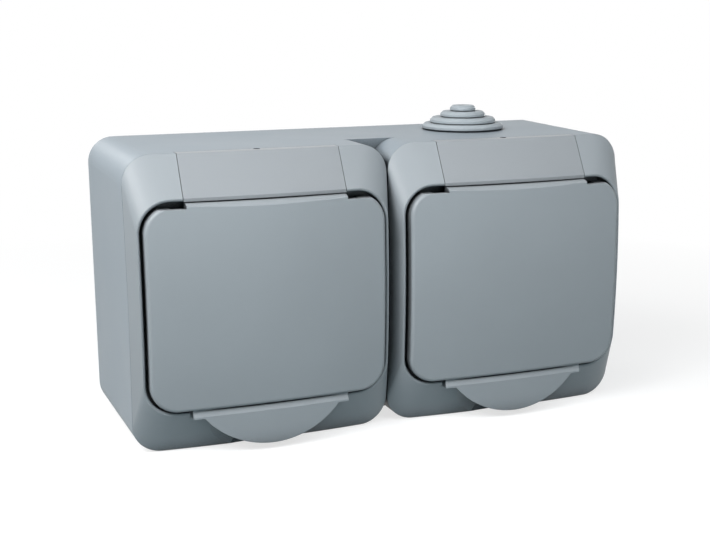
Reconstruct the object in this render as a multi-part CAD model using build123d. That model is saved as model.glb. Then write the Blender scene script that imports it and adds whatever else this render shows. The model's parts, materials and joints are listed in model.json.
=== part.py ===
from build123d import *
import math
import os

os.makedirs("parts", exist_ok=True)

# Two-gang outdoor socket with a sprung, domed lid over each well.
# Millimetres. X runs along both gangs, Z is up, the wall is the plane y = 0.
# A depth is a distance from the wall towards the user, so y = -depth.

# Body and domed front
gang_w = 74.9                # one gang at its crease, where the side wall meets the slope
gang_h = 82.1
gang_gap = 0.4               # between the noses of the two gangs
gang_corner = 8.0
side_draft = 1.05            # the box widens towards the wall
end_draft = 0.35
box_back_corner = 7.5
dome_r = 323.0               # every front skin lies on a ball of this radius
lid_depth = 58.7             # crown of the lid in front of the wall
rim_back = 2.0               # crowns of the other skins behind the lid's
crease_back = 7.1
valley_back = 24.7           # floor of the groove between the gangs
back_wall = 2.6
side_wall = 1.8
end_wall = 2.0               # top and bottom walls
front_reach = 6.0            # blanks and cuts run past the lid

# Clearances
part_gap = 0.05              # between mouldings that meet at a visible seam
slide_gap = 0.2              # between a piece and the seat that it drops into
seat_gap = 0.05              # between flat faces that bear on each other
run_gap = 0.05               # radial play of the lid on its pin
press_gap = 0.02             # radial play of pins and screws in their bores

# Lid opening and lid
frame_side = 3.75            # from the gang's outline to the lid
lid_h = 55.2
lid_drop = 0.2               # lid's middle below the gang's
lid_corner = 7.6
lid_plate = 1.8
lid_skirt = 1.4
lid_skirt_back = 7.1         # back edge of the lid's side walls, behind its crown
lid_edge_r = 1.0
lid_gap = 0.75               # sides and bottom, to the rim
lid_top_gap = 1.65           # above, where the lid's corners swing in
rim_w = 0.9
rim_round = 0.7
deck_set_back = 9.9          # floor of the lid recess behind the lid's crown
deck_t = 2.0
tub_wall = 1.0

# Lid hinge
hinge_drop = 3.0             # pin below the lid's top edge
hinge_set_back = 3.15        # pin behind the lid's face
pin_r = 0.75
barrel_r = 1.9
lug_r = 1.4
lug_t = 3.0
lug_stem_top = 0.6           # stem below the pin, clear of the opened lid
lug_stem_low = 2.6
nose_gap = 0.3               # lid's rolled edge to the roof of the recess
nose_back = 1.0              # rolled edge behind the pin
spring_half_w = 5.0          # gap in the barrel for the spring
spring_wire_r = 0.3
spring_wire_sides = 8
spring_coil_r = 1.4
spring_turns = 3.75          # from the deck leg on top to the lid leg behind
spring_gap = 0.4

# Hinge panel
panel_side = 11.0            # from the lid's side edge to the panel
panel_dy = 1.25              # skin thickness, measured back and down
panel_dz = 1.1
panel_gap = 0.15
panel_lip = 6.5              # lip on the top face, behind the crease
panel_slot_w = 1.8           # release slot in the lip
panel_slot_l = 2.4
panel_slot_back = 5.8
panel_leg_x = 12.0
panel_leg_w = 4.0
panel_leg_t = 1.4
panel_leg_drop = 7.85        # legs below the top face
panel_barb = 0.6
panel_barb_l = 1.4
backing_back = 6.8           # blocks behind the crease that locate the cover in the box
backing_margin = 2.0

# Thumb tab and the finger scoop behind it
tab_side = 11.3              # from the lid's side edge to the tab
tab_lip_h = 2.1
tab_ear = 3.1                # lip beyond the flap
tab_drop = 9.0               # flap below its lip
tab_back = 1.5               # flap's two faces behind the lid's crown
tab_rear_back = 3.3
tab_chamfer_h = 1.5
tab_chamfer_d = 0.7
tab_groove = 0.4             # line between the lid's face and the tab
tab_web_back = 4.3
tab_web_t = 1.5
tab_notch_gap = 0.5          # rim cut away beside and behind the tab
scoop_half_w = 19.0
scoop_half_l = 11.0
scoop_dip = 2.3
scoop_drop = 4.5             # deepest place below the rim, down the slope

# Socket well
socket_z = -2.0
well_r = 19.75
well_depth = 17.5
well_wall = 1.6
well_rib_w = 5.0
well_rib_h = 2.0
well_rib_front = 4.0         # ribs start below the mouth
collar_back = 5.2            # edge of the collar behind the lid's crown
floor_t = 3.0
flange_w = 3.65              # beyond the collar
flange_t = 2.1
gasket_t = 1.0
pin_pitch = 19.0
pin_hole_r = 2.7
clip_w = 6.0
clip_t = 1.0
clip_slot_gap = 0.35
clip_back = 7.5              # earth clips end behind the collar
clip_bump_r = 1.6
clip_bump_back = 10.5
seal_w = 2.4
seal_t = 1.65
seal_gap = 0.15

# Contact carrier and its metal
carrier_side_gap = 3.3       # from the cover screws' axes to the carrier
carrier_h = 38.0
carrier_corner = 5.0
carrier_t = 15.95
pocket_w = 9.2
pocket_floor = 2.0
pocket_below = 6.0
pocket_above = 15.0
sleeve_r = 3.4
sleeve_bore = 2.5
sleeve_l = 12.4
sleeve_slit = 1.0
terminal_w = 7.2
terminal_h = 8.0
terminal_rise = 5.5          # terminal block above the pin
terminal_l = 8.5
wire_hole_r = 1.6
earth_slot_w = 8.6
earth_strap_w = 8.0
earth_strap_t = 1.2
earth_back = 5.95            # strap behind the carrier's front
earth_screw_rise = 14.0
post_r = 3.0

# Fasteners
screw_r = 1.5                # cover and carrier screws
screw_head_r = 2.6
screw_head_h = 2.0
screw_recess_w = 0.8
screw_bite = 9.0             # thread length in the boss
boss_r = 3.4
boss_web = 1.6
cover_screw_edge = 5.15      # from the side and the bottom of the lid opening
cover_screw_rise = 6.05
cover_screw_gap = 0.4        # upper heads below the hinge lugs
carrier_screw_edge = 4.0
carrier_screw_rise = 14.5
terminal_screw_r = 1.2
terminal_head_r = 2.3
terminal_head_h = 1.8
terminal_bite = 5.0

# Wall fixing and cable entry
wall_hole_r = 3.0
wall_hole_x = 60.0
wall_hole_z = 30.0
entry_depth = 18.7           # grommet axis in front of the wall
entry_r = 9.5
grommet_base_r = 12.6
grommet_lower_r = 10.2
grommet_upper_r = 7.0
grommet_tip_r = 4.0
grommet_ring_h = 1.8
grommet_round = 0.75
grommet_groove = 0.35
grommet_skin = 1.1
grommet_lip_r = 11.0
grommet_lip_t = 1.6
grommet_lift = 0.35          # over the drafted top face

# Way between the gangs for the linking wires
window_depth = 4.0
window_d = 14.0
window_h = 12.0
window_z = 21.0

# Values that follow from the ones above
gang_pitch = gang_w + gang_gap
box_back_w = gang_pitch + gang_w + 2 * side_draft
box_back_h = gang_h + 2 * end_draft
rim_depth = lid_depth - rim_back
crease_depth = lid_depth - crease_back
valley_depth = lid_depth - valley_back
far_depth = lid_depth + front_reach
lid_w = gang_w - 2 * frame_side
lid_top = lid_h / 2 - lid_drop
lid_bottom = lid_top - lid_h
lid_skirt_depth = lid_depth - lid_skirt_back
hinge_z = lid_top - hinge_drop
opening_top = lid_top + lid_top_gap
opening_bottom = lid_bottom - lid_gap
opening_w = lid_w + 2 * lid_gap
opening_h = opening_top - opening_bottom
opening_z = (opening_top + opening_bottom) / 2
opening_corner = lid_corner + lid_gap
deck_depth = lid_depth - deck_set_back
deck_back = deck_depth - deck_t
panel_w = lid_w - 2 * panel_side
panel_leg_z = gang_h / 2 - panel_leg_drop
lug_x = panel_w / 2 + slide_gap
backing_depth = crease_depth - backing_back
tab_w = lid_w - 2 * tab_side
tab_flap_w = tab_w - 2 * tab_ear
tab_web_depth = lid_depth - tab_web_back
collar_r = well_r + well_wall
flange_r = collar_r + flange_w
collar_depth = lid_depth - collar_back
floor_depth = collar_depth - well_depth
floor_back = floor_depth - floor_t
flange_depth = deck_back - gasket_t - seat_gap
clip_depth = collar_depth - clip_back
carrier_front = floor_back - seat_gap
carrier_depth = carrier_front - carrier_t
earth_depth = carrier_front - earth_back
cover_boss_depth = deck_back - seat_gap
inner_w = gang_w - 2 * side_wall
inner_h = gang_h - 2 * end_wall
inner_corner = gang_corner - side_wall
grommet_rings = [grommet_base_r, grommet_lower_r, grommet_upper_r, grommet_tip_r]
cover_screw_x = opening_w / 2 - cover_screw_edge
cover_screw_top = hinge_z - lug_stem_low - screw_head_r - cover_screw_gap
cover_screw_bottom = opening_bottom + cover_screw_rise
carrier_w = 2 * (cover_screw_x - carrier_side_gap)
carrier_screw_x = carrier_w / 2 - carrier_screw_edge
cover_screw_spots = [
    (sx * cover_screw_x, z) for sx in (-1, 1) for z in (cover_screw_top, cover_screw_bottom)
]
carrier_screw_spots = [
    (-carrier_screw_x, socket_z + carrier_screw_rise),
    (carrier_screw_x, socket_z - carrier_screw_rise),
]
gang_side = {"left": -1, "right": 1}


def ball_drop(x, z):
    """How far a domed skin falls back from its crown at a place on the front."""
    return dome_r - math.sqrt(dome_r**2 - x**2 - z**2)


hinge_depth = lid_depth - ball_drop(0, lid_top) - hinge_set_back
nose_r = opening_top - nose_gap - hinge_z


def prism(outline, depth_a, depth_b):
    """Extrude an outline drawn in X and Z between two depths."""
    return extrude(Plane.XZ.offset(depth_a) * outline, depth_b - depth_a)


def slab(x_a, x_b, depth_a, depth_b, z_a, z_b):
    """Box between two corners, with depths from the wall."""
    middle = Pos((x_a + x_b) / 2, -(depth_a + depth_b) / 2, (z_a + z_b) / 2)
    return middle * Box(x_b - x_a, depth_b - depth_a, z_b - z_a)


def rod_y(x, z, radius, depth_a, depth_b):
    """Round bar along Y."""
    return prism(Pos(x, z) * Circle(radius), depth_a, depth_b)


def rod_x(radius, x_a, x_b, depth=hinge_depth, z=hinge_z):
    """Round bar along X, on the hinge axis unless told otherwise."""
    return Pos((x_a + x_b) / 2, -depth, z) * Rot(0, 90, 0) * Cylinder(radius, x_b - x_a)


def strip_x(profile, x_a, x_b):
    """Extrude a profile drawn in Y and Z along X."""
    return extrude(Plane.YZ.offset(x_a) * profile, x_b - x_a)


def ball(depth):
    """Ball whose crown stands at a depth over the gang's middle."""
    return Pos(0, dome_r - depth, 0) * Sphere(dome_r)


def front_skin(solid):
    """The face that looks at the user."""
    return solid.faces().sort_by(Axis.Y)[0]


def at_gang(name, piece):
    """Put a piece drawn about the origin in its gang."""
    return Pos(gang_side[name] * gang_pitch / 2, 0, 0) * piece


def box_height(depth):
    """Height of the drafted box at a depth."""
    return box_back_h + (gang_h - box_back_h) * depth / crease_depth


def gang_block():
    """One gang's nose, from the valley's floor to past the crease, with the draft of the box."""
    rear = RectangleRounded(gang_w, box_height(valley_depth), gang_corner)
    front = RectangleRounded(gang_w, gang_h, gang_corner)
    planes = Plane.XZ.offset(valley_depth), Plane.XZ.offset(crease_depth)
    return loft([planes[0] * rear, planes[1] * front], ruled=True)


nose = gang_block()
opening = Pos(0, opening_z) * RectangleRounded(opening_w, opening_h, opening_corner)
rim_outline = Pos(0, opening_z) * RectangleRounded(
    opening_w + 2 * rim_w, opening_h + 2 * rim_w, opening_corner + rim_w
)
domed_nose = nose & ball(crease_depth)
slope_frame = loft(
    [front_skin(domed_nose), front_skin(prism(rim_outline, crease_depth, far_depth) & ball(rim_depth))],
    ruled=True,
)
gang_front = domed_nose + slope_frame


def panel_zone(extra):
    """Skin of the top slope and its lip on the top face, with room all round."""
    shifted = Pos(0, panel_dy + extra, -panel_dz - extra) * gang_front
    half = panel_w / 2 + extra
    window = slab(-half, half, crease_depth - panel_lip - extra, far_depth, opening_top, gang_h)
    return (gang_front - shifted) & window


def release_slot():
    """Pry slot through the lip into the wall under it."""
    slot = SlotOverall(panel_slot_l, panel_slot_w, rotation=90)
    return Pos(0, panel_slot_back - crease_depth, gang_h / 2 - end_wall) * extrude(slot, 2 * end_wall)


def screw(x, z, radius, head_r, head_h, head_depth, length):
    """Pan-head screw along Y, its head's underside at head_depth."""
    shank = rod_y(x, z, radius - press_gap, head_depth - length, head_depth)
    head = rod_y(x, z, head_r, head_depth, head_depth + head_h)
    head = chamfer(head.edges().group_by(Axis.Y)[0], head_h / 4)
    cut = slab(
        x - head_r, x + head_r,
        head_depth + head_h / 2, head_depth + 2 * head_h,
        z - screw_recess_w / 2, z + screw_recess_w / 2,
    )
    return shank + head - cut


def wall_box():
    """Deep moulding for both gangs, open at the two domed mouths."""
    back = Plane.XZ * RectangleRounded(box_back_w, box_back_h, box_back_corner)
    front = Plane.XZ.offset(crease_depth) * RectangleRounded(gang_pitch + gang_w, gang_h, gang_corner)
    body = loft([back, front], ruled=True)
    halves = []
    for name, side in gang_side.items():
        x_span = sorted((0, side * box_back_w))
        half = body & slab(*x_span, 0, far_depth, -box_back_h, box_back_h)
        halves.append(half & at_gang(name, ball(crease_depth - part_gap)))
    shell = halves[0] + halves[1]

    groove_half = gang_corner + (gang_pitch - gang_w) / 2
    groove = slab(-groove_half, groove_half, valley_depth, far_depth, -box_back_h, box_back_h)
    for name in gang_side:
        groove = groove - at_gang(name, nose)
    shell = shell - groove

    for name in gang_side:
        cavity = prism(RectangleRounded(inner_w, inner_h, inner_corner), back_wall, far_depth)
        for x, z in cover_screw_spots:
            edge_x = math.copysign(inner_w / 2, x)
            boss = rod_y(x, z, boss_r, back_wall, cover_boss_depth)
            web_span = sorted((x, edge_x))
            web = slab(*web_span, back_wall, cover_boss_depth, z - boss_web / 2, z + boss_web / 2)
            cavity = cavity - boss - web
        for x, z in carrier_screw_spots:
            cavity = cavity - rod_y(x, z, boss_r, back_wall, carrier_depth - seat_gap)
        for x, z in cover_screw_spots:
            cavity = cavity + rod_y(x, z, screw_r, cover_boss_depth - screw_bite - 1, cover_boss_depth)
        for x, z in carrier_screw_spots:
            cavity = cavity + rod_y(x, z, screw_r, carrier_depth - screw_bite - 1, carrier_depth)
        shell = shell - at_gang(name, cavity)
        shell = shell - at_gang(name, panel_zone(panel_gap) + release_slot())
        shell = shell - at_gang(name, finger_scoop())

    for x in (-wall_hole_x, wall_hole_x):
        for z in (-wall_hole_z, wall_hole_z):
            shell = shell - rod_y(x, z, wall_hole_r, -1, back_wall + 1)
    web_half = (gang_pitch - inner_w) / 2 + inner_corner
    shell = shell - slab(
        -web_half, web_half, window_depth, window_depth + window_d,
        window_z - window_h / 2, window_z + window_h / 2,
    )
    entry = Pos(gang_pitch / 2, -entry_depth, box_back_h / 2) * Cylinder(entry_r, 4 * end_wall)
    return shell - entry


def cable_grommet():
    """Stepped membrane in the top wall, hollow below, cut to suit the cable."""
    top_z = box_height(entry_depth) / 2
    base_z = top_z + grommet_lift - slide_gap
    wall_under = inner_h / 2
    with BuildSketch(Plane.XZ) as half:
        with BuildLine():
            points = [(0, base_z + len(grommet_rings) * grommet_ring_h)]
            for level in reversed(range(len(grommet_rings))):
                radius = grommet_rings[level]
                foot = base_z + level * grommet_ring_h
                head = foot + grommet_ring_h
                points.append((radius - grommet_round, head))
                points.append((radius, head - grommet_round))
                points.append((radius, foot + grommet_groove))
                points.append((radius - grommet_groove, foot))
            points += [
                (entry_r - slide_gap, base_z),
                (entry_r - slide_gap, wall_under - slide_gap),
                (grommet_lip_r, wall_under - slide_gap),
                (entry_r - slide_gap, wall_under - slide_gap - grommet_lip_t),
            ]
            hollow = [
                (entry_r - slide_gap - grommet_skin, wall_under - slide_gap - grommet_lip_t),
            ]
            for level, radius in enumerate(grommet_rings[1:], start=1):
                ceiling = base_z + level * grommet_ring_h - grommet_skin
                hollow.append((radius - grommet_skin, ceiling) if level > 1 else (hollow[0][0], ceiling))
                if level + 1 < len(grommet_rings):
                    hollow.append((grommet_rings[level + 1] - grommet_skin, ceiling))
            hollow.append((0, base_z + (len(grommet_rings) - 1) * grommet_ring_h - grommet_skin))
            Polyline(*points, *hollow, close=True)
        make_face()
    body = revolve(half.sketch, Axis.Z)
    return Pos(gang_pitch / 2, -entry_depth, 0) * body


def finger_scoop():
    """Shallow dish in the lower slope, curved more sharply down the slope than across."""
    low = Vector(0, -(crease_depth - ball_drop(0, gang_h / 2)), -gang_h / 2)
    high = Vector(0, -(rim_depth - ball_drop(0, opening_bottom)), opening_bottom - rim_w)
    along = (low - high).normalized()
    outward = Vector(0, along.Z, -along.Y)
    if outward.Y > 0:
        outward = outward * -1
    middle = high + along * scoop_drop
    tube_r = (scoop_half_l**2 + scoop_dip**2) / (2 * scoop_dip)
    sweep_r = (scoop_half_w**2 + scoop_dip**2) / (2 * scoop_dip)
    axis_point = middle + outward * (sweep_r - scoop_dip)
    ring_plane = Plane(middle + outward * (tube_r - scoop_dip), x_dir=along, z_dir=(1, 0, 0))
    ring = ring_plane * Circle(tube_r)
    swing = 2 * math.degrees(math.asin(scoop_half_w / sweep_r)) + 4
    turned = revolve(ring, Axis(axis_point, along), revolution_arc=swing)
    return turned.rotate(Axis(axis_point, along), -swing / 2)


def front_cover():
    """Sloped frame with the lid's recess, screwed to the box."""
    tub_outline = Pos(0, opening_z) * RectangleRounded(
        opening_w + 2 * tub_wall, opening_h + 2 * tub_wall, opening_corner + tub_wall
    )
    block_half = panel_w / 2 + backing_margin
    block_z = inner_h / 2 - slide_gap
    top_block = slab(-block_half, block_half, backing_depth, far_depth, opening_top, block_z)
    low_block = slab(-block_half, block_half, backing_depth, far_depth, -block_z, opening_bottom)
    recess = prism(opening, deck_depth, far_depth)
    frame = slope_frame - recess
    frame = fillet(front_skin(frame).inner_wires()[0].edges(), rim_round)
    tub = prism(tub_outline, deck_back, deck_depth + deck_t / 2)
    blocks = (top_block + low_block) & (Pos(0, rim_round, 0) * gang_front)
    cover = frame + (tub + blocks - recess)
    cover = cover - panel_zone(panel_gap)
    cover = cover - finger_scoop()

    notch_half = tab_w / 2 + tab_notch_gap
    cover = cover - slab(
        -notch_half, notch_half, tab_web_depth - tab_notch_gap, far_depth,
        opening_bottom - rim_w - tab_lip_h, opening_z,
    )
    leg_half = panel_leg_w / 2 + slide_gap
    for sx in (-1, 1):
        cover = cover - slab(
            sx * panel_leg_x - leg_half, sx * panel_leg_x + leg_half, backing_depth - 1, far_depth,
            panel_leg_z - slide_gap, panel_leg_z + panel_leg_t + panel_barb + slide_gap,
        )
    cover = cover - rod_y(0, socket_z, collar_r + slide_gap, deck_back - 1, far_depth)
    for x, z in cover_screw_spots:
        cover = cover - rod_y(x, z, screw_r + slide_gap, deck_back - 1, far_depth)

    stem = Pos(-(deck_depth + hinge_depth) / 2, hinge_z - (lug_stem_top + lug_stem_low) / 2) * Rectangle(
        hinge_depth - deck_depth, lug_stem_low - lug_stem_top
    )
    lug = stem + Pos(-hinge_depth, hinge_z) * Circle(lug_r)
    for x_a in (lug_x, -lug_x - lug_t):
        cover = cover + strip_x(lug, x_a, x_a + lug_t)
    return cover - rod_x(pin_r + press_gap, -lug_x - lug_t, lug_x + lug_t)


def hinge_panel():
    """Snap-in skin over the hinge, wrapped onto the top face."""
    panel = panel_zone(0)
    mid_skin = Pos(0, panel_dy / 2, -panel_dz / 2) * gang_front
    for sx in (-1, 1):
        x_a = sx * panel_leg_x - panel_leg_w / 2
        x_b = x_a + panel_leg_w
        leg = slab(x_a, x_b, backing_depth - panel_barb_l, far_depth, panel_leg_z, panel_leg_z + panel_leg_t)
        hook = Pos(-backing_depth + seat_gap, panel_leg_z + panel_leg_t) * Polygon(
            (0, 0), (panel_barb_l, 0), (0, panel_barb), align=None
        )
        panel = panel + ((leg & mid_skin) + strip_x(hook, x_a, x_b))
    return panel - release_slot()


def lid_outline(inset):
    """Lid's outline: corners as the opening has them, with the top edge cut straight below its roof."""
    height = opening_top - lid_gap - lid_bottom
    rounded = RectangleRounded(lid_w - 2 * inset, height - 2 * inset, lid_corner - inset)
    below = Pos(0, lid_top - inset) * Rectangle(lid_w, 2 * lid_h, align=(Align.CENTER, Align.MAX))
    return (Pos(0, lid_bottom + height / 2) * rounded) & below


def lid():
    """Domed lid with side walls, a rolled hinge edge, a seal land and a thumb tab."""
    reach = Pos(-hinge_depth + nose_back, hinge_z) * Rectangle(
        2 * nose_r, 2 * nose_r, align=(Align.MAX, Align.MIN)
    )
    roll = (Pos(-hinge_depth, hinge_z) * Circle(nose_r)) & reach
    roll = roll + Pos(-hinge_depth, hinge_z) * Circle(barrel_r)
    tongue_half = panel_w / 2 - 2 * panel_gap
    tongue = strip_x(roll, -tongue_half, tongue_half)
    over = slab(-lid_w, lid_w, hinge_depth, far_depth, hinge_z, far_depth) - rod_x(nose_r, -lid_w, lid_w)

    shell = (prism(lid_outline(0), lid_skirt_depth, far_depth) - over + tongue) & ball(lid_depth)
    middles = {e: e.center() for e in front_skin(shell).edges()}
    free_edges = [e for e, middle in middles.items() if middle.Z < hinge_z]
    for e, middle in middles.items():
        if hinge_z <= middle.Z < lid_top - slide_gap and abs(middle.X) > lid_w / 2 - lid_corner:
            free_edges.append(e)
    shell = fillet(free_edges, lid_edge_r)
    lug_end = lug_x + lug_t + 2 * slide_gap
    room = lid_outline(lid_skirt) + Pos(0, lid_top) * Rectangle(2 * lug_end, lid_h)
    hollow = prism(room, lid_skirt_depth - 1, far_depth) & ball(lid_depth - lid_plate)
    shell = shell - (hollow - tongue)

    land = prism(
        Pos(0, socket_z) * (Circle(collar_r + seal_w / 2) - Circle(collar_r - well_wall - seal_w / 2)),
        collar_depth + seal_gap + seal_t, far_depth,
    )
    shell = shell + (land & ball(lid_depth - lid_plate / 2))
    shell = shell + thumb_tab()

    shell = shell - rod_x(pin_r + run_gap, -lug_end, lug_end)
    spring_room = spring_coil_r + spring_wire_r + spring_gap
    shell = shell - rod_x(spring_room, -spring_half_w, spring_half_w)
    for x_a in (lug_x, -lug_x - lug_t):
        shell = shell - rod_x(lug_r + 2 * slide_gap, x_a - 2 * slide_gap, x_a + lug_t + 2 * slide_gap)
    return shell


def thumb_tab():
    """Half-moon flap below the lid's face, set off by a groove."""
    lip_top = lid_bottom - tab_groove
    lip_low = lip_top - tab_lip_h
    flap_low = lip_low - tab_drop
    ears = Pos(0, (lip_top + lip_low) / 2) * Rectangle(tab_w, tab_lip_h)
    with BuildSketch() as moon:
        with BuildLine():
            ThreePointArc((-tab_flap_w / 2, lip_low), (0, flap_low), (tab_flap_w / 2, lip_low))
            Line((tab_flap_w / 2, lip_low), (-tab_flap_w / 2, lip_low))
        make_face()
    outline = ears + moon.sketch

    axis_y = dome_r - lid_depth
    skin_r = dome_r - tab_back
    with BuildSketch(Plane.XZ) as turned:
        with BuildLine():
            Polyline(
                (0, flap_low - 1), (skin_r, flap_low - 1), (skin_r, lip_top - tab_chamfer_h),
                (skin_r - tab_chamfer_d, lip_top), (0, lip_top), close=True,
            )
        make_face()
    drum = Pos(0, axis_y, 0) * revolve(turned.sketch, Axis.Z)
    flap = prism(outline, lid_depth - tab_rear_back, far_depth) & drum
    web_half = tab_w / 2
    web = slab(
        -web_half, web_half, tab_web_depth, tab_web_depth + tab_web_t,
        lip_low, lid_bottom + lid_skirt / 2,
    )
    return flap + web


def lid_pin():
    """Steel hinge pin held in the cover's lugs."""
    half = lug_x + lug_t
    return rod_x(pin_r, -half, half)


def lid_spring():
    """Torsion coil on the pin: one leg on the deck, one behind the lid's rolled edge."""
    pitch = 2 * spring_wire_r * 1.25
    length = pitch * spring_turns
    coil_path = Helix(pitch, length, spring_coil_r)
    wire = Plane(coil_path @ 0, z_dir=coil_path % 0) * RegularPolygon(spring_wire_r, spring_wire_sides)
    coil = sweep(wire, coil_path, is_frenet=True)
    start, end = coil_path @ 0, coil_path @ 1
    legs = []
    for point, tangent, reach in (
        (start, (coil_path % 0) * -1, hinge_depth - deck_depth - seat_gap),
        (end, coil_path % 1, nose_r - nose_gap),
    ):
        leg = Plane(point, z_dir=tangent) * Cylinder(
            spring_wire_r, reach, align=(Align.CENTER, Align.CENTER, Align.MIN)
        )
        legs.append(leg)
    spring = coil + legs[0] + legs[1]
    turned = Rot(0, 90, 0) * Rot(0, 0, 180) * Pos(0, 0, -length / 2) * spring
    return Pos(0, -hinge_depth, hinge_z) * turned


def lid_seal():
    """Soft ring on the lid that bears on the collar of the well."""
    ring = Circle(collar_r + seal_w / 2 - seal_gap) - Circle(collar_r - well_wall - seal_w / 2 + seal_gap)
    return prism(Pos(0, socket_z) * ring, collar_depth + seal_gap, collar_depth + seal_gap + seal_t)


def clip_slots(extra):
    """Room for the earth clips through the wall of the well."""
    half = clip_w / 2 + extra
    inner = well_r - 2 * clip_t
    outer = collar_r + clip_t
    front = clip_depth + extra
    up = slab(-half, half, floor_back - 1, front, socket_z + inner, socket_z + outer)
    down = slab(-half, half, floor_back - 1, front, socket_z - outer, socket_z - inner)
    return up + down


def socket_face():
    """Round plug well with a collar, a flange behind the deck and two pin holes."""
    spot = Pos(0, socket_z)
    face = prism(spot * Circle(collar_r), floor_back, collar_depth)
    face = fillet(front_skin(face).edges(), well_wall / 4)
    face = face + prism(spot * Circle(flange_r), flange_depth - flange_t, flange_depth)
    face = face - prism(spot * Circle(well_r), floor_depth, far_depth)
    for sx in (-1, 1):
        rib = slab(
            sx * well_r - well_rib_h, sx * well_r + well_rib_h, floor_depth - floor_t / 2,
            collar_depth - well_rib_front, socket_z - well_rib_w / 2, socket_z + well_rib_w / 2,
        )
        face = face + (rib & prism(spot * Circle(collar_r), floor_back, collar_depth))
        face = face - rod_y(sx * pin_pitch / 2, socket_z, pin_hole_r, floor_back - 1, far_depth)
    face = face - clip_slots(clip_slot_gap)
    face = face - rod_y(0, socket_z, screw_r + slide_gap, floor_back - 1, far_depth)
    sink = rod_y(0, socket_z, screw_head_r + slide_gap, floor_depth - floor_t / 2, far_depth)
    return face - sink


def socket_gasket():
    """Flat ring between the deck and the flange."""
    ring = Circle(flange_r - slide_gap) - Circle(collar_r + slide_gap)
    return prism(Pos(0, socket_z) * ring, flange_depth, deck_back - seat_gap)


def contact_carrier():
    """Insulating block behind the well, with a pocket for each contact."""
    spot = Pos(0, socket_z)
    block = prism(spot * RectangleRounded(carrier_w, carrier_h, carrier_corner), carrier_depth, carrier_front)
    for sx in (-1, 1):
        x = sx * pin_pitch / 2
        block = block - slab(
            x - pocket_w / 2, x + pocket_w / 2, carrier_depth + pocket_floor, far_depth,
            socket_z - pocket_below, socket_z + pocket_above,
        )
        wire_z = socket_z + carrier_h / 2
        wire_way = Pos(x, -terminal_middle_depth(), wire_z) * Cylinder(wire_hole_r, carrier_h / 2)
        block = block - wire_way
    half = earth_slot_w / 2
    slot = slab(-half, half, earth_depth - seat_gap, far_depth, socket_z - carrier_h, socket_z + carrier_h)
    block = block - slot + rod_y(0, socket_z, post_r, carrier_depth, carrier_front)
    block = block - rod_y(0, socket_z, screw_r, carrier_front - screw_bite - 1, far_depth)
    earth_z = socket_z + earth_screw_rise
    block = block - rod_y(0, earth_z, terminal_screw_r, earth_depth - terminal_bite - 1, far_depth)
    for x, z in carrier_screw_spots:
        block = block - rod_y(x, z, screw_r + slide_gap, carrier_depth - 1, far_depth)
    return block


def terminal_middle_depth():
    """Depth of a terminal's wire hole."""
    return carrier_depth + pocket_floor + seat_gap + terminal_l / 2


def contact(sx):
    """Slit brass sleeve for one plug pin, with its screw terminal above."""
    x = sx * pin_pitch / 2
    rear = carrier_depth + pocket_floor + seat_gap
    sleeve = rod_y(x, socket_z, sleeve_r, rear, rear + sleeve_l)
    base_z = socket_z + terminal_rise
    block = slab(x - terminal_w / 2, x + terminal_w / 2, rear, rear + terminal_l, base_z, base_z + terminal_h)
    neck = slab(x - clip_w / 3, x + clip_w / 3, rear, rear + 2 * clip_t, socket_z, base_z + clip_t)
    metal = sleeve + neck + block
    metal = metal - rod_y(x, socket_z, sleeve_bore, rear + 2 * clip_t, far_depth)
    metal = metal - slab(
        x - sleeve_slit / 2, x + sleeve_slit / 2, rear + 3 * clip_t, far_depth,
        socket_z - 2 * sleeve_r, socket_z,
    )
    hole = Pos(x, -terminal_middle_depth(), base_z + terminal_h) * Cylinder(wire_hole_r, terminal_h)
    screw_z = base_z + terminal_h / 2
    return metal - hole - rod_y(x, screw_z, terminal_screw_r, rear + terminal_l / 2, far_depth)


def terminal_screws():
    """Clamp screws of both contacts and of the earth strap."""
    front = carrier_depth + pocket_floor + seat_gap + terminal_l + seat_gap
    screw_z = socket_z + terminal_rise + terminal_h / 2
    bite = terminal_l / 2 - wire_hole_r / 2
    size = terminal_screw_r, terminal_head_r, terminal_head_h
    spots = [screw(sx * pin_pitch / 2, screw_z, *size, front, bite) for sx in (-1, 1)]
    earth_front = earth_depth + earth_strap_t + seat_gap
    spots.append(screw(0, socket_z + earth_screw_rise, *size, earth_front, terminal_bite))
    return Part() + spots


def earth_bracket():
    """Brass strap under the well whose two ends are the earth clips."""
    clip_in = well_r + clip_t / 2
    span = clip_in + clip_t
    half = earth_strap_w / 2
    strap = slab(-half, half, earth_depth, earth_depth + earth_strap_t, socket_z - span, socket_z + span)
    strap = strap - rod_y(0, socket_z, post_r + slide_gap, earth_depth - 1, far_depth)
    earth_z = socket_z + earth_screw_rise
    strap = strap - rod_y(0, earth_z, terminal_screw_r + slide_gap, earth_depth - 1, far_depth)
    for sz in (-1, 1):
        z_span = sorted((socket_z + sz * clip_in, socket_z + sz * span))
        arm = slab(-clip_w / 2, clip_w / 2, earth_depth, clip_depth, *z_span)
        bump = rod_x(clip_bump_r, -clip_w / 2, clip_w / 2, collar_depth - clip_bump_back, socket_z + sz * clip_in)
        keep = sorted((socket_z, socket_z + sz * span))
        bump = bump & slab(-clip_w, clip_w, floor_back, clip_depth, *keep)
        strap = strap + arm + bump
    return strap


def cover_screws():
    """Four screws through the deck into the box."""
    size = screw_r, screw_head_r, screw_head_h
    head_depth = deck_depth + seat_gap
    length = head_depth - cover_boss_depth + screw_bite
    return Part() + [screw(x, z, *size, head_depth, length) for x, z in cover_screw_spots]


def carrier_screws():
    """Two screws that hold the carrier to the box."""
    size = screw_r, screw_head_r, screw_head_h
    head_depth = carrier_front + seat_gap
    length = head_depth - carrier_depth + screw_bite
    return Part() + [screw(x, z, *size, head_depth, length) for x, z in carrier_screw_spots]


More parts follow.
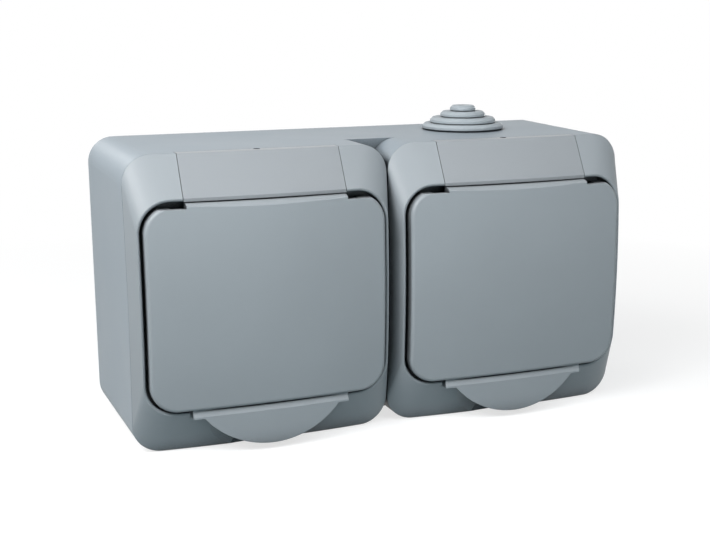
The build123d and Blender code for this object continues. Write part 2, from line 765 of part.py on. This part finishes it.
def centre_screw():
    """Screw in the middle of the well."""
    head_depth = floor_depth - floor_t / 2 + seat_gap
    size = screw_r, screw_head_r, screw_head_h / 2
    return screw(0, socket_z, *size, head_depth, head_depth - carrier_front + screw_bite)


gang_pieces = {
    "front_cover": front_cover(),
    "hinge_panel": hinge_panel(),
    "lid": lid(),
    "lid_pin": lid_pin(),
    "lid_spring": lid_spring(),
    "lid_seal": lid_seal(),
    "socket_face": socket_face(),
    "socket_gasket": socket_gasket(),
    "contact_carrier": contact_carrier(),
    "contact_live": contact(1),
    "contact_neutral": contact(-1),
    "earth_bracket": earth_bracket(),
    "terminal_screws": terminal_screws(),
    "cover_screws": cover_screws(),
    "carrier_screws": carrier_screws(),
    "centre_screw": centre_screw(),
}

nodes = {"wall_box": wall_box(), "cable_grommet": cable_grommet()}
for gang in gang_side:
    for name, piece in gang_pieces.items():
        nodes[f"{name}_{gang}"] = at_gang(gang, piece)

for name, piece in nodes.items():
    export_step(piece, f"parts/{name}.step")
    print(name, len(piece.solids()), round(piece.volume, 1))
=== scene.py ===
# %% [markdown]
# # A grey outdoor socket on a white table
#
# The object is a two-gang weatherproof socket in satin grey plastic. Its shape is already complete
# in the frame that is loaded here, down to the screws behind the lids, so this lesson is about
# finish: what makes plastic look moulded, rubber look soft and brass look cut. It ends with the
# light and the camera.

# %% Load the frame
import json
import math

import bpy
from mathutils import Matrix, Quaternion, Vector


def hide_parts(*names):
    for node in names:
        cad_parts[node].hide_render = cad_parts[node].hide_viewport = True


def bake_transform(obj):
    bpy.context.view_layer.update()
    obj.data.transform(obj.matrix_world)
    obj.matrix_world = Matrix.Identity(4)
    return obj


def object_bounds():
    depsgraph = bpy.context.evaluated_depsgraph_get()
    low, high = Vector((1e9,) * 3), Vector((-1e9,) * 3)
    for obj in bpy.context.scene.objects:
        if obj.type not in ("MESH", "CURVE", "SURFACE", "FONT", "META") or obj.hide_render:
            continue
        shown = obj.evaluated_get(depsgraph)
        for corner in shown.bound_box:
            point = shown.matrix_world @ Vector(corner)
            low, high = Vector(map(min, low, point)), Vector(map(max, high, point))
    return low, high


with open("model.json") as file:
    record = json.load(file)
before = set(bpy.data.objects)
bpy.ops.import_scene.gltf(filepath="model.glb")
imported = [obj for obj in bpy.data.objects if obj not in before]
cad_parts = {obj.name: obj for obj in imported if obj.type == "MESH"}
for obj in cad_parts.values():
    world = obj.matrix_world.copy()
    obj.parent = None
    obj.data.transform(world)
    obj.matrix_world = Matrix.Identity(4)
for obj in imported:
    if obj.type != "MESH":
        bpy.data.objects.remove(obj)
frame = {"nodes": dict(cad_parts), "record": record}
cad_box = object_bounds()
nodes = frame["nodes"]
MM = 0.001


def size_in_mm(box):
    """Width, depth and height of a box that is given by two corners."""
    return [round((high - low) / MM, 1) for low, high in zip(*box)]


print("pieces in the frame:", len(nodes))
print("size in mm:", size_in_mm(cad_box))

# %% [markdown]
# ## Node groups that several finishes share
#
# Every plastic piece of the real socket has a fine grain, soft edges and dark gaps. Each material
# could hold its own copy of the nodes for that, but then a change would have to be made many times.
# A group is built once and placed in every material that needs it. It takes plain numbers and gives
# back colours, values and normals. The shader itself stays in the material, where an exporter can
# read it.

# %% Helpers that build a group


def new_group(name, inputs, outputs):
    """Empty shader group with named sockets; returns the tree and its two end nodes."""
    tree = bpy.data.node_groups.new(name, "ShaderNodeTree")
    for label, kind, default in inputs:
        socket = tree.interface.new_socket(label, in_out="INPUT", socket_type=kind)
        socket.default_value = default
    for label, kind in outputs:
        tree.interface.new_socket(label, in_out="OUTPUT", socket_type=kind)
    return tree, tree.nodes.new("NodeGroupInput"), tree.nodes.new("NodeGroupOutput")


def give(tree, end, **results):
    """Link results to the group outputs of the same names."""
    for label, socket in results.items():
        tree.links.new(socket, end.inputs[label])


COLOR, FLOAT, VECTOR = "NodeSocketColor", "NodeSocketFloat", "NodeSocketVector"
print("socket kinds:", COLOR, FLOAT, VECTOR)

# %% Helpers that add a node


def add(tree, kind, **settings):
    """New node in a tree, with its properties set by name."""
    node = tree.nodes.new(kind)
    for key, value in settings.items():
        setattr(node, key, value)
    return node


def fill(node, **values):
    """Set a node's inputs by name; returns the node."""
    for label, value in values.items():
        node.inputs[label].default_value = value
    return node


def calc(tree, operation, *terms):
    """Math node; a term is a plain number or the socket of another node."""
    node = add(tree, "ShaderNodeMath", operation=operation)
    for socket, term in zip(node.inputs, terms):
        if isinstance(term, float):
            socket.default_value = term
        else:
            tree.links.new(term, socket)
    return node.outputs["Value"]


print("node helpers:", [helper.__name__ for helper in (add, fill, calc)])

# %% [markdown]
# ### Moulded skin
#
# An injection mould is spark-eroded, so its plastic has a grain finer than a tenth of a millimetre.
# The skin also varies a little over centimetres, where the melt flowed and cooled. Both could be
# painted on an image, but an image needs an unwrapped mesh and ends at its pixels. Two noises need
# neither. A fine one gives the grain's height, and a coarse one shifts both colour and roughness, so
# that large faces don't look painted.

# %% Helpers for noise and tone


def noise(tree, per_metre, detail, place):
    """Noise texture with so many cells in a metre, read at a place on the object."""
    node = fill(add(tree, "ShaderNodeTexNoise"), Scale=per_metre, Detail=detail)
    tree.links.new(place, node.inputs["Vector"])
    return node.outputs["Fac"]


def remap(tree, value, low, high, new_low, new_high):
    """Map Range from one span of numbers to another."""
    node = add(tree, "ShaderNodeMapRange")
    for socket, number in zip(node.inputs[1:5], (low, high, new_low, new_high)):
        socket.default_value = number
    tree.links.new(value, node.inputs["Value"])
    return node.outputs["Result"]


def toned(tree, color, tone):
    """The same colour, lighter or darker by a factor."""
    node = add(tree, "ShaderNodeHueSaturation")
    tree.links.new(color, node.inputs["Color"])
    tree.links.new(tone, node.inputs["Value"])
    return node.outputs["Color"]


print("surface helpers:", [helper.__name__ for helper in (noise, remap, toned)])

# %% Build the moulded skin group
GRAIN_PER_M, GRAIN_DETAIL = 7000.0, 2.0
FLOW_PER_M, FLOW_DETAIL = 28.0, 3.0
FLOW_BAND = (0.3, 0.7)
FLOW_AMOUNT = 0.03
FLOW_TO_ROUGHNESS = 1.5


def moulded_skin_group():
    """Grain as a height, and a slow drift of colour and roughness."""
    tree, start, end = new_group(
        "moulded_skin",
        [
            ("Color", COLOR, (0.4, 0.4, 0.4, 1)),
            ("Roughness", FLOAT, 0.4),
            ("Flow", FLOAT, FLOW_AMOUNT),
        ],
        [("Color", COLOR), ("Roughness", FLOAT), ("Height", FLOAT)],
    )
    place = add(tree, "ShaderNodeTexCoord").outputs["Object"]
    grain = noise(tree, GRAIN_PER_M, GRAIN_DETAIL, place)
    flow = remap(tree, noise(tree, FLOW_PER_M, FLOW_DETAIL, place), *FLOW_BAND, -1.0, 1.0)
    drift = calc(tree, "MULTIPLY", flow, start.outputs["Flow"])
    color = toned(tree, start.outputs["Color"], calc(tree, "ADD", drift, 1.0))
    rough = calc(tree, "MULTIPLY_ADD", drift, FLOW_TO_ROUGHNESS, start.outputs["Roughness"])
    give(tree, end, Color=color, Roughness=rough, Height=grain)
    return tree


moulded_skin = moulded_skin_group()
print("group:", moulded_skin.name, "with", len(moulded_skin.nodes), "nodes")

# %% [markdown]
# ### Soft edges
#
# No moulded edge is knife sharp: a radius of up to a few tenths of a millimetre catches the light as
# a thin line. A Bevel modifier would cut new faces into a mesh that is already right. The Bevel node
# only bends the normals near an edge, so the mesh stays as it is. Comparing its normal with the true
# one also gives a mask of the edges. There the colour is made a little lighter: partly wear from
# handling, partly a painted highlight along the edge.

# %% Build the soft edges group
EDGE_SAMPLES = 6
FULL_EDGE = 0.8


def soft_edges_group():
    """Rounded normal, and a mask that is 1 where that normal has turned far enough."""
    tree, start, end = new_group(
        "soft_edges",
        [("Radius", FLOAT, 0.4 * MM)],
        [("Normal", VECTOR), ("Edge", FLOAT)],
    )
    bevel = add(tree, "ShaderNodeBevel", samples=EDGE_SAMPLES)
    tree.links.new(start.outputs["Radius"], bevel.inputs["Radius"])
    true_normal = add(tree, "ShaderNodeNewGeometry").outputs["Normal"]
    align = add(tree, "ShaderNodeVectorMath", operation="DOT_PRODUCT")
    tree.links.new(bevel.outputs["Normal"], align.inputs[0])
    tree.links.new(true_normal, align.inputs[1])
    edge = remap(tree, align.outputs["Value"], 1.0, FULL_EDGE, 0.0, 1.0)
    give(tree, end, Normal=bevel.outputs["Normal"], Edge=edge)
    return tree


soft_edges = soft_edges_group()
print("group:", soft_edges.name, "with", len(soft_edges.nodes), "nodes")

# %% [markdown]
# ### Painted shade in narrow gaps
#
# The seams of the hinge panel and the gap round a lid look black on the real object, because they
# are deep and lie in shade. Light that bounces inside them leaves them grey in a render, so the shade
# is painted into the colour, and painting it by hand would need an unwrapped mesh. The Ambient
# Occlusion node measures how much of the sky a place sees within a few millimetres. Up to Shut a
# place counts as hidden, from Open on it counts as free, and the mask between them paints shade on
# the plastic in gaps and leaves open faces alone.

# %% Build the gap shade group
GAP_REACH = 9.0 * MM
GAP_SAMPLES = 6
GAP_SPAN = (0.10, 0.32)


def gap_shade_group():
    """Mask of the places that see little of the sky, where shade is painted."""
    tree, start, end = new_group(
        "gap_shade",
        [("Amount", FLOAT, 0.9), ("Shut", FLOAT, GAP_SPAN[0]), ("Open", FLOAT, GAP_SPAN[1])],
        [("Shade", FLOAT)],
    )
    sky = fill(add(tree, "ShaderNodeAmbientOcclusion", samples=GAP_SAMPLES), Distance=GAP_REACH)
    # Painted shade: 1 where a place sees too little sky, 0 where it is open.
    hidden = remap(tree, sky.outputs["AO"], *GAP_SPAN, 1.0, 0.0)
    tree.links.new(start.outputs["Shut"], hidden.node.inputs["From Min"])
    tree.links.new(start.outputs["Open"], hidden.node.inputs["From Max"])
    give(tree, end, Shade=calc(tree, "MULTIPLY", hidden, start.outputs["Amount"]))
    return tree


gap_shade = gap_shade_group()
print("group:", gap_shade.name, "reaches", GAP_REACH / MM, "mm")

# %% [markdown]
# ### Turned metal
#
# Screw heads, pins and brass contacts are turned or stamped, and keep fine lines from the tool. Cut
# into the mesh, such lines would cost thousands of faces that are hardly seen. A noise stretched
# along one direction gives them for nothing, and drives roughness and a faint bump. A coarser noise
# stains the colour a little.

# %% Build the turned metal group
LINES_PER_M, LINES_DETAIL = 2500.0, 2.0
LINES_STRETCH = 0.04
LINES_TO_ROUGHNESS = 0.18
STAIN_PER_M, STAIN_DETAIL = 220.0, 3.0
STAIN_BAND = (0.35, 0.7)
STAIN_TONE = 0.82


def turned_metal_group():
    """Tool lines as height and roughness, with a faint stain in the colour."""
    tree, start, end = new_group(
        "turned_metal",
        [
            ("Color", COLOR, (0.7, 0.7, 0.7, 1)),
            ("Roughness", FLOAT, 0.3),
            ("Stretch", FLOAT, LINES_STRETCH),
        ],
        [("Color", COLOR), ("Roughness", FLOAT), ("Height", FLOAT)],
    )
    place = add(tree, "ShaderNodeTexCoord").outputs["Object"]
    squeeze = fill(add(tree, "ShaderNodeCombineXYZ"), Y=1.0, Z=1.0)
    tree.links.new(start.outputs["Stretch"], squeeze.inputs["X"])
    stretched = add(tree, "ShaderNodeVectorMath", operation="MULTIPLY")
    tree.links.new(place, stretched.inputs[0])
    tree.links.new(squeeze.outputs["Vector"], stretched.inputs[1])
    lines = noise(tree, LINES_PER_M, LINES_DETAIL, stretched.outputs["Vector"])
    stain = remap(tree, noise(tree, STAIN_PER_M, STAIN_DETAIL, place), *STAIN_BAND, 1.0, STAIN_TONE)
    color = toned(tree, start.outputs["Color"], stain)
    rough = calc(tree, "MULTIPLY_ADD", lines, LINES_TO_ROUGHNESS, start.outputs["Roughness"])
    give(tree, end, Color=color, Roughness=rough, Height=lines)
    return tree


turned_metal = turned_metal_group()
print("group:", turned_metal.name, "with", len(turned_metal.nodes), "nodes")

# %% [markdown]
# ## Finishes
#
# Each finish is one material. A skin group gives colour, roughness and grain, the soft edges group
# gives the normal, and the gap shade group paints shade into the gaps where a finish asks for it.
# Linking them by hand for ten materials would invite slips, so one helper does it. The numbers that
# are the same all over a surface sit on the Principled shader's own sockets.

# %% Helpers that place a group and mix a colour


def place_group(tree, group, **values):
    """A group's node in a material, with its own values."""
    return fill(add(tree, "ShaderNodeGroup", node_tree=group), **values)


def mix_color(tree, mask, color, other):
    """One colour where the mask is 0, and another, fixed one where it is 1."""
    node = add(tree, "ShaderNodeMix", data_type="RGBA")
    node.inputs["B"].default_value = (*other, 1)
    tree.links.new(mask, node.inputs["Factor"])
    tree.links.new(color, node.inputs["A"])
    return node.outputs["Result"]


print("material helpers:", [helper.__name__ for helper in (place_group, mix_color)])

# %% A helper that joins the groups to a shader
BUMP_STRENGTH = 0.35
GAP_TONE = 0.03


def finish(name, skin, color, roughness, edge_mm, bump_mm, edge_light=0.0,
           gap_dark=0.0, gap_span=GAP_SPAN, specular=0.5, metallic=0.0):
    """Material from a skin group, with softened edges, a lighter edge colour, painted shade in gaps
    and a fine bump.
    """
    material = bpy.data.materials.new(name)
    material.use_nodes = True
    tree = material.node_tree
    surface = tree.nodes["Principled BSDF"]
    surface.inputs["Specular IOR Level"].default_value = specular
    surface.inputs["Metallic"].default_value = metallic
    body = place_group(tree, skin, Color=(*color, 1), Roughness=roughness)
    edges = place_group(tree, soft_edges, Radius=edge_mm * MM)
    # Edge colour a little lighter: partly wear from handling, partly a painted highlight.
    worn_and_highlit = [min(1, c * (1 + edge_light)) for c in color]
    paint = mix_color(tree, edges.outputs["Edge"], body.outputs["Color"], worn_and_highlit)
    # Painted shade: the colour goes almost black in narrow gaps.
    if gap_dark:
        gaps = place_group(tree, gap_shade, Amount=gap_dark, Shut=gap_span[0], Open=gap_span[1])
        paint = mix_color(tree, gaps.outputs["Shade"], paint, [c * GAP_TONE for c in color])
    bump = fill(add(tree, "ShaderNodeBump"), Strength=BUMP_STRENGTH, Distance=bump_mm * MM)
    tree.links.new(body.outputs["Height"], bump.inputs["Height"])
    tree.links.new(edges.outputs["Normal"], bump.inputs["Normal"])
    tree.links.new(paint, surface.inputs["Base Color"])
    tree.links.new(body.outputs["Roughness"], surface.inputs["Roughness"])
    tree.links.new(bump.outputs["Normal"], surface.inputs["Normal"])
    return material


print("groups to join:", [group.name for group in bpy.data.node_groups])

# %% [markdown]
# ### The grey housing
#
# Box, covers, hinge panels and lids are moulded from the same cool grey plastic with a satin skin.
# One material could do for all of them, but their gaps differ: a lid has a wide one all round, a
# hinge panel has hairline seams, and the box has a deep groove between the gangs. So each has its
# own span of painted gap shade, and greys and gloss that differ a little, as they do from mould to
# mould.

# %% Grey plastic
GREY = (0.258, 0.281, 0.300)
BOX_GREY = (0.232, 0.270, 0.302)
PANEL_GREY = (0.244, 0.261, 0.278)
SATIN_ROUGHNESS, SATIN_SPECULAR = 0.34, 0.25
GAP_DARK = 0.95

shell_grey = finish(
    "satin_shell_grey", moulded_skin, GREY, SATIN_ROUGHNESS, edge_mm=0.02, bump_mm=0.02,
    gap_dark=GAP_DARK, gap_span=(0.16, 0.40), specular=SATIN_SPECULAR,
)
box_grey = finish(
    "satin_box_grey", moulded_skin, BOX_GREY, 0.40, edge_mm=0.02, bump_mm=0.02,
    gap_dark=GAP_DARK, gap_span=(0.30, 0.75), specular=0.145,
)
panel_grey = finish(
    "satin_panel_grey", moulded_skin, PANEL_GREY, SATIN_ROUGHNESS, edge_mm=0.08, bump_mm=0.02,
    gap_dark=GAP_DARK, gap_span=(0.50, 0.92), specular=SATIN_SPECULAR,
)
housing_grey = finish(
    "satin_housing_grey", moulded_skin, GREY, SATIN_ROUGHNESS, edge_mm=0.25, bump_mm=0.02,
    edge_light=0.10, gap_dark=GAP_DARK, gap_span=(0.35, 0.85), specular=SATIN_SPECULAR,
)
print("grey finishes:", [m.name for m in (shell_grey, box_grey, panel_grey, housing_grey)])

# %% [markdown]
# ### Rubber and insulation
#
# The grommet is a soft rubber of nearly the same grey, and a cable is pushed through its rings. The
# plug wells are a shade darker than the housing, the carriers behind them are plain ivory
# insulation, and the seals are black rubber. Rubber could have sheen or scattering, but at this size
# a rougher, duller skin than the housing's is what tells it apart.

# %% Rubber, wells and carriers
# The grommet gets painted shade in the grooves between its rings.
grommet_grey = finish(
    "soft_grommet_grey", moulded_skin, (0.29, 0.325, 0.35), 0.55, edge_mm=0.25, bump_mm=0.03,
    edge_light=0.04, gap_dark=0.9, gap_span=(0.12, 0.62),
)
well_grey = finish(
    "plug_well_grey", moulded_skin, (0.15, 0.175, 0.19), 0.45, edge_mm=0.3, bump_mm=0.02,
    edge_light=0.08,
)
carrier_ivory = finish(
    "carrier_ivory", moulded_skin, (0.62, 0.59, 0.50), 0.5, edge_mm=0.3, bump_mm=0.02,
    edge_light=0.05,
)
seal_black = finish(
    "seal_black", moulded_skin, (0.025, 0.026, 0.028), 0.7, edge_mm=0.2, bump_mm=0.03,
    edge_light=0.3,
)
inner_finishes = (grommet_grey, well_grey, carrier_ivory, seal_black)
print("rubber and insulation:", [m.name for m in inner_finishes])

# %% [markdown]
# ### Metal
#
# The contacts and earth clips are brass, and the pins, springs and screws are zinc plated steel. A
# metal has no colour under its shine: with Metallic at 1 the base colour tints what it reflects. In
# a white studio a bright zinc would burn out on the small screw heads, so it is kept darker and a
# little dull, as old plating is.

# %% Brass and zinc
contact_brass = finish(
    "contact_brass", turned_metal, (0.72, 0.50, 0.20), 0.22, edge_mm=0.1, bump_mm=0.01,
    edge_light=0.1, metallic=1.0,
)
zinc_steel = finish(
    "zinc_steel", turned_metal, (0.46, 0.47, 0.48), 0.30, edge_mm=0.1, bump_mm=0.01,
    edge_light=0.1, metallic=1.0,
)
print("metal finishes:", [m.name for m in (contact_brass, zinc_steel)])

# %% [markdown]
# ### Which piece gets which finish
#
# The frame's record names a material slot for every piece, such as brass for a contact. Giving out
# finishes by slot takes less writing than going through all the pieces by name, and leaves none out.
# Three kinds of piece have a finish of their own, and are looked up first by their name without the
# side.

# %% Put each finish on its pieces
FINISH_OF_SLOT = {
    "housing": housing_grey,
    "grommet": grommet_grey,
    "insert": well_grey,
    "carrier": carrier_ivory,
    "seal": seal_black,
    "brass": contact_brass,
    "steel": zinc_steel,
}
FINISH_OF_PIECE = {"wall_box": box_grey, "front_cover": shell_grey, "hinge_panel": panel_grey}
for row in frame["record"]["subparts"]:
    mesh = nodes[row["node"]].data
    mesh.materials.clear()
    piece = row["node"].removesuffix("_left").removesuffix("_right")
    mesh.materials.append(FINISH_OF_PIECE.get(piece) or FINISH_OF_SLOT[row["material_slot"]])

# %% [markdown]
# ## Copies of the springs
#
# Inside each hinge a small torsion spring closes the lid. One leg stays on the deck of the cover and
# the other goes with the lid, so the coil between them winds up when the lid opens. A spring that
# rode on one body would stick into the lid. Here a copy of its mesh is put in the scene in its place,
# and the spring piece of the frame is hidden.

# %% Copy each spring
for side in ("left", "right"):
    node = f"lid_spring_{side}"
    spring = bpy.data.objects.new(f"winding_spring_{side}", nodes[node].data.copy())
    bpy.context.scene.collection.objects.link(spring)
    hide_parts(node)
    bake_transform(spring)

# %% [markdown]
# ## A table that is white only to the eye
#
# The object stands on a pale table in front of white. A table that was simply white would throw
# light up at the lower slopes, which are in shade on the real one. So it is two surfaces in one. The
# camera and reflections see white with a soft shadow near the object, and light that bounces meets a
# darker, cooler table. Light Path tells the two kinds of ray apart.

# %% Helpers for rays that see the white background


def sees_background(tree):
    """1 for rays that show the surroundings as a picture, 0 for rays that only carry light."""
    path = add(tree, "ShaderNodeLightPath")
    seen = calc(tree, "MAXIMUM", path.outputs["Is Camera Ray"], path.outputs["Is Glossy Ray"])
    return calc(tree, "MAXIMUM", seen, path.outputs["Is Transmission Ray"])


def mix_shaders(tree, factor, first, second):
    """First shader where the factor is 0, second where it is 1."""
    node = add(tree, "ShaderNodeMixShader")
    for socket, source in zip(node.inputs, (factor, first, second)):
        tree.links.new(source, socket)
    return node.outputs["Shader"]


WHITE_STRENGTH = 1.0
print("white is an emission of strength", WHITE_STRENGTH)

# %% The table's finish
SHADOW_REACH = (0.10, 0.30)
TABLE_GREY = (0.34, 0.345, 0.35, 1)
TABLE_GLOW = 0.70
TABLE_BOUNCE = (0.16, 0.22, 0.24, 1)


def table_finish():
    """White with a soft shadow to the eye, darker to light that bounces."""
    material = bpy.data.materials.new("pale_table")
    material.use_nodes = True
    tree = material.node_tree
    tree.nodes.remove(tree.nodes["Principled BSDF"])
    place = add(tree, "ShaderNodeNewGeometry").outputs["Position"]
    span = add(tree, "ShaderNodeVectorMath", operation="LENGTH")
    tree.links.new(place, span.inputs[0])
    far = remap(tree, span.outputs["Value"], *SHADOW_REACH, 0.0, 1.0)
    shaded = fill(add(tree, "ShaderNodeBsdfDiffuse"), Color=TABLE_GREY)
    glow = fill(add(tree, "ShaderNodeEmission"), Strength=TABLE_GLOW)
    near = add(tree, "ShaderNodeAddShader")
    tree.links.new(shaded.outputs[0], near.inputs[0])
    tree.links.new(glow.outputs[0], near.inputs[1])
    white = fill(add(tree, "ShaderNodeEmission"), Strength=WHITE_STRENGTH)
    seen = mix_shaders(tree, far, near.outputs[0], white.outputs[0])
    bounce = fill(add(tree, "ShaderNodeBsdfDiffuse"), Color=TABLE_BOUNCE)
    both = mix_shaders(tree, sees_background(tree), bounce.outputs[0], seen)
    tree.links.new(both, tree.nodes["Material Output"].inputs["Surface"])
    return material


pale_table = table_finish()
print("table finish:", pale_table.name, "with its shadow up to", SHADOW_REACH[1] / MM, "mm away")

# %% Table
TABLE_SIZE = 8.0
floor_z = cad_box[0][2]
bpy.ops.mesh.primitive_plane_add(size=TABLE_SIZE, location=(0, 0, floor_z))
table = bpy.context.object
table.name = "table"
table.data.materials.append(pale_table)
print("table height in mm:", round(floor_z / MM, 1))

# %% [markdown]
# ## The room
#
# Behind the table the world goes on in the same white, so that no horizon shows. As a lamp, a white
# world would light every gap from all sides and flatten the object. The same split as on the table
# keeps the picture white and leaves only a trace of cool light for the deepest shade.

# %% World
AMBIENT = 0.02
ROOM_TINT = (0.35, 0.88, 1.0, 1)


def studio_world():
    """White to the eye, and almost dark as a lamp."""
    world = bpy.data.worlds.new("studio")
    world.use_nodes = True
    tree = world.node_tree
    tree.nodes.clear()
    room = fill(add(tree, "ShaderNodeBackground"), Color=ROOM_TINT, Strength=AMBIENT)
    white = fill(add(tree, "ShaderNodeBackground"), Color=(1, 1, 1, 1), Strength=WHITE_STRENGTH)
    both = mix_shaders(tree, sees_background(tree), room.outputs[0], white.outputs[0])
    tree.links.new(both, add(tree, "ShaderNodeOutputWorld").inputs["Surface"])
    return world


bpy.context.scene.world = studio_world()
print("world:", bpy.context.scene.world.name, "with ambient light", AMBIENT)

# %% [markdown]
# ## Softboxes
#
# A product picture of grey plastic lives from slow gradients, so all lamps are softboxes: area
# lights of some size. A sun lamp would give hard shadows and even faces. A wide strip above the front
# is the key, close enough to fall off from the top of a lid to its bottom, and a weak box at the
# right helps the right-hand gang. Three boxes at the left open up the long side of the box and its
# round corner. A rim box behind draws the rear edge of the top, and a low, cool one in front fills
# the shade. The last, low and far behind at the right, lights the back and the right-hand side for
# other views. It is low so that the top doesn't mirror it.

# %% A helper for a softbox
CENTRE = Vector((0, -0.03, 0))


def softbox(name, place, size, watts, color=(1, 1, 1)):
    """Rectangular area light aimed at the object."""
    light = bpy.data.lights.new(name, "AREA")
    light.shape = "RECTANGLE"
    light.size, light.size_y = size
    light.energy = watts
    light.color = color
    lamp = bpy.data.objects.new(name, light)
    lamp.location = place
    lamp.rotation_euler = (CENTRE - Vector(place)).to_track_quat("-Z", "Y").to_euler()
    bpy.context.scene.collection.objects.link(lamp)


print("lamps aim at mm:", [round(v / MM, 1) for v in CENTRE])

# %% Lamps
COOL_LIGHT = (0.76, 0.92, 0.97)
softbox("key_box", (-0.06, -0.29, 0.29), (0.50, 0.12), 0.75)
softbox("right_box", (0.16, -0.34, 0.25), (0.30, 0.15), 0.38)
softbox("near_left_box", (-0.32, -0.25, 0.29), (0.20, 0.20), 0.85)
softbox("left_box", (-0.34, -0.16, 0.34), (0.20, 0.20), 1.30)
softbox("far_left_box", (-0.70, -0.50, 0.55), (0.40, 0.40), 1.6)
softbox("rim_box", (-0.26, 0.36, 0.24), (0.30, 0.12), 0.62)
softbox("front_box", (0.0, -0.60, 0.02), (0.50, 0.20), 0.66, COOL_LIGHT)
softbox("back_box", (0.55, 0.85, -0.01), (0.50, 0.05), 7.0)
print("lamps in watts:", {light.name: round(light.energy, 2) for light in bpy.data.lights})

# %% [markdown]
# ## Camera
#
# The camera stands a little to the left and above, close enough for clear perspective. It could be
# placed by hand and turned with a constraint. Written as an azimuth and an elevation about a target
# on the object, with a trace of roll, it is easier to compare with a photograph.

# %% Camera
AZIMUTH, ELEVATION, ROLL = (math.radians(angle) for angle in (21.063, 12.657, -0.204))
TARGET = Vector((-3.05, -30.0, -1.71)) * MM
DISTANCE = 363.67 * MM
SENSOR_MM, LENS_MM = 36.0, 61.13
NEAREST = 10 * MM
look = Vector((
    math.sin(AZIMUTH) * math.cos(ELEVATION),
    math.cos(AZIMUTH) * math.cos(ELEVATION),
    -math.sin(ELEVATION),
))
camera = bpy.data.objects.new("camera", bpy.data.cameras.new("camera"))
camera.data.sensor_width = SENSOR_MM
camera.data.lens = LENS_MM
camera.data.clip_start = NEAREST
camera.location = TARGET - look * DISTANCE
camera.rotation_mode = "QUATERNION"
camera.rotation_quaternion = look.to_track_quat("-Z", "Y") @ Quaternion((0, 0, 1), ROLL)
bpy.context.scene.collection.objects.link(camera)
bpy.context.scene.camera = camera
bpy.context.scene.view_settings.view_transform = "Standard"
print("camera at mm:", [round(v / MM, 1) for v in camera.location])
